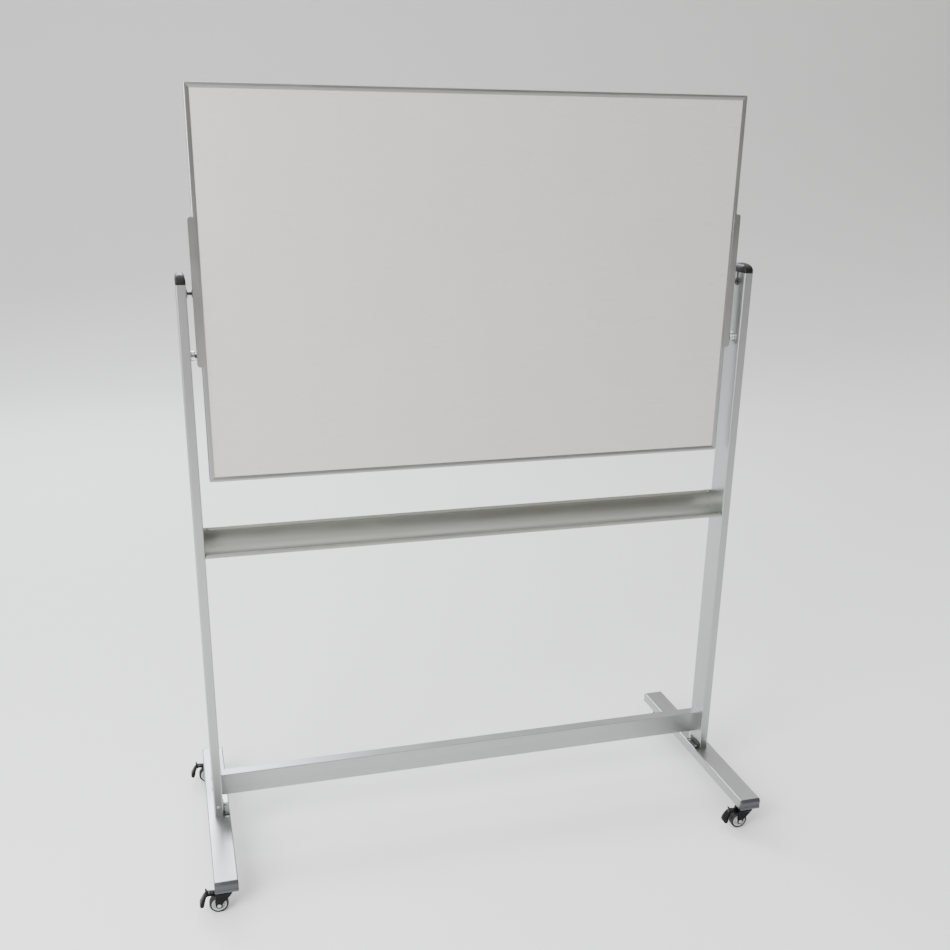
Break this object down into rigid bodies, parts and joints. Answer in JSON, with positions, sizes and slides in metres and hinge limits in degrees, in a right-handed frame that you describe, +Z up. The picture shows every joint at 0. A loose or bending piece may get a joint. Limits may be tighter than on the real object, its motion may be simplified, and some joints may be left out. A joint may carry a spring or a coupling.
{
  "type": "rolling whiteboard",
  "caption": "Free-standing rolling whiteboard: a framed two-sided board flips between two posts above a pen tray, a crossbar and two feet on braked swivel casters.",
  "frame": {"origin": "on the floor, midway between the two posts and midway between the front and rear wheels", "axes": "+X runs across the board towards the right post seen from the front, +Y points to the back, +Z points up"},
  "size_m": [1.383, 0.572, 1.701],
  "materials": {
    "stand_aluminium": "satin silver anodised",
    "frame_aluminium": "satin silver anodised",
    "bracket_aluminium": "brushed anodised",
    "tray_aluminium": "satin anodised",
    "white_enamel": "semi-gloss white writing enamel",
    "fibreboard": "raw fibreboard",
    "black_plastic": "moulded black",
    "grey_plastic": "moulded grey",
    "chrome": "polished chrome",
    "bracket_steel": "dark grey powder coat",
    "zinc_steel": "zinc plated",
    "caster_black": "moulded black nylon",
    "wheel_grey": "moulded light grey",
    "tyre_rubber": "black rubber"
  },
  "bodies": {
    "stand": {"left_post": "stand_aluminium", "left_post_cap": "black_plastic", "left_foot": "stand_aluminium", "left_foot_end_caps": "grey_plastic", "left_base_bracket": "bracket_steel", "left_tray_end_cap": "tray_aluminium", "left_catch_barrel": "chrome", "left_catch_spring": "zinc_steel", "right_post": "stand_aluminium", "right_post_cap": "black_plastic", "right_foot": "stand_aluminium", "right_foot_end_caps": "grey_plastic", "right_base_bracket": "bracket_steel", "right_tray_end_cap": "tray_aluminium", "right_catch_barrel": "chrome", "right_catch_spring": "zinc_steel", "crossbar": "stand_aluminium", "crossbar_end_plugs": "black_plastic", "crossbar_bolts": "zinc_steel", "base_screws": "zinc_steel", "base_plugs": "black_plastic", "pen_tray": "tray_aluminium", "tray_screws": "zinc_steel", "pivot_pins": "zinc_steel", "pivot_nuts": "zinc_steel", "caster_stems": "zinc_steel"},
    "board": {"board_core": "fibreboard", "front_writing_sheet": "white_enamel", "rear_writing_sheet": "white_enamel", "top_rail": "frame_aluminium", "bottom_rail": "frame_aluminium", "left_rail": "frame_aluminium", "right_rail": "frame_aluminium", "corner_keys": "black_plastic", "left_pivot_bracket": "bracket_aluminium", "right_pivot_bracket": "bracket_aluminium", "bracket_screws": "zinc_steel", "pivot_bushes": "black_plastic"},
    "left_catch": {"left_catch_plunger": "black_plastic"},
    "right_catch": {"right_catch_plunger": "black_plastic"},
    "front_left_caster": {"front_left_caster_fork": "caster_black", "front_left_caster_axle": "zinc_steel"},
    "front_left_wheel": {"front_left_wheel_core": "wheel_grey", "front_left_tyre": "tyre_rubber"},
    "front_left_brake": {"front_left_brake_lever": "caster_black"},
    "front_right_caster": {"front_right_caster_fork": "caster_black", "front_right_caster_axle": "zinc_steel"},
    "front_right_wheel": {"front_right_wheel_core": "wheel_grey", "front_right_tyre": "tyre_rubber"},
    "front_right_brake": {"front_right_brake_lever": "caster_black"},
    "rear_left_caster": {"rear_left_caster_fork": "caster_black", "rear_left_caster_axle": "zinc_steel"},
    "rear_left_wheel": {"rear_left_wheel_core": "wheel_grey", "rear_left_tyre": "tyre_rubber"},
    "rear_left_brake": {"rear_left_brake_lever": "caster_black"},
    "rear_right_caster": {"rear_right_caster_fork": "caster_black", "rear_right_caster_axle": "zinc_steel"},
    "rear_right_wheel": {"rear_right_wheel_core": "wheel_grey", "rear_right_tyre": "tyre_rubber"},
    "rear_right_brake": {"rear_right_brake_lever": "caster_black"}
  },
  "joints": [
    {"name": "board_flip", "type": "hinge", "parent": "stand", "child": "board", "pos_m": [0, 0, 1.301], "axis": [1, 0, 0], "continuous": true},
    {"name": "left_catch_slide", "type": "slide", "parent": "stand", "child": "left_catch", "axis": [-1, 0, 0], "range_m": [0, 0.004], "stiffness_N_per_m": 600, "springref_m": -0.004, "deforming": ["left_catch_spring"]},
    {"name": "right_catch_slide", "type": "slide", "parent": "stand", "child": "right_catch", "axis": [1, 0, 0], "range_m": [0, 0.004], "stiffness_N_per_m": 600, "springref_m": -0.004, "deforming": ["right_catch_spring"]},
    {"name": "front_left_swivel", "type": "hinge", "parent": "stand", "child": "front_left_caster", "pos_m": [-0.63, -0.264, 0.052], "axis": [0, 0, 1], "continuous": true},
    {"name": "front_left_wheel_spin", "type": "hinge", "parent": "front_left_caster", "child": "front_left_wheel", "pos_m": [-0.648, -0.264, 0.021], "axis": [0, 1, 0], "continuous": true},
    {"name": "front_left_brake_press", "type": "hinge", "parent": "front_left_caster", "child": "front_left_brake", "pos_m": [-0.652, -0.264, 0.046], "axis": [0, -1, 0], "range_deg": [0, 12]},
    {"name": "front_right_swivel", "type": "hinge", "parent": "stand", "child": "front_right_caster", "pos_m": [0.63, -0.264, 0.052], "axis": [0, 0, 1], "continuous": true},
    {"name": "front_right_wheel_spin", "type": "hinge", "parent": "front_right_caster", "child": "front_right_wheel", "pos_m": [0.612, -0.264, 0.021], "axis": [0, 1, 0], "continuous": true},
    {"name": "front_right_brake_press", "type": "hinge", "parent": "front_right_caster", "child": "front_right_brake", "pos_m": [0.608, -0.264, 0.046], "axis": [0, -1, 0], "range_deg": [0, 12]},
    {"name": "rear_left_swivel", "type": "hinge", "parent": "stand", "child": "rear_left_caster", "pos_m": [-0.63, 0.264, 0.052], "axis": [0, 0, 1], "continuous": true},
    {"name": "rear_left_wheel_spin", "type": "hinge", "parent": "rear_left_caster", "child": "rear_left_wheel", "pos_m": [-0.648, 0.264, 0.021], "axis": [0, 1, 0], "continuous": true},
    {"name": "rear_left_brake_press", "type": "hinge", "parent": "rear_left_caster", "child": "rear_left_brake", "pos_m": [-0.652, 0.264, 0.046], "axis": [0, -1, 0], "range_deg": [0, 12]},
    {"name": "rear_right_swivel", "type": "hinge", "parent": "stand", "child": "rear_right_caster", "pos_m": [0.63, 0.264, 0.052], "axis": [0, 0, 1], "continuous": true},
    {"name": "rear_right_wheel_spin", "type": "hinge", "parent": "rear_right_caster", "child": "rear_right_wheel", "pos_m": [0.648, 0.264, 0.021], "axis": [0, 1, 0], "continuous": true},
    {"name": "rear_right_brake_press", "type": "hinge", "parent": "rear_right_caster", "child": "rear_right_brake", "pos_m": [0.652, 0.264, 0.046], "axis": [0, 1, 0], "range_deg": [0, 12]}
  ]
}
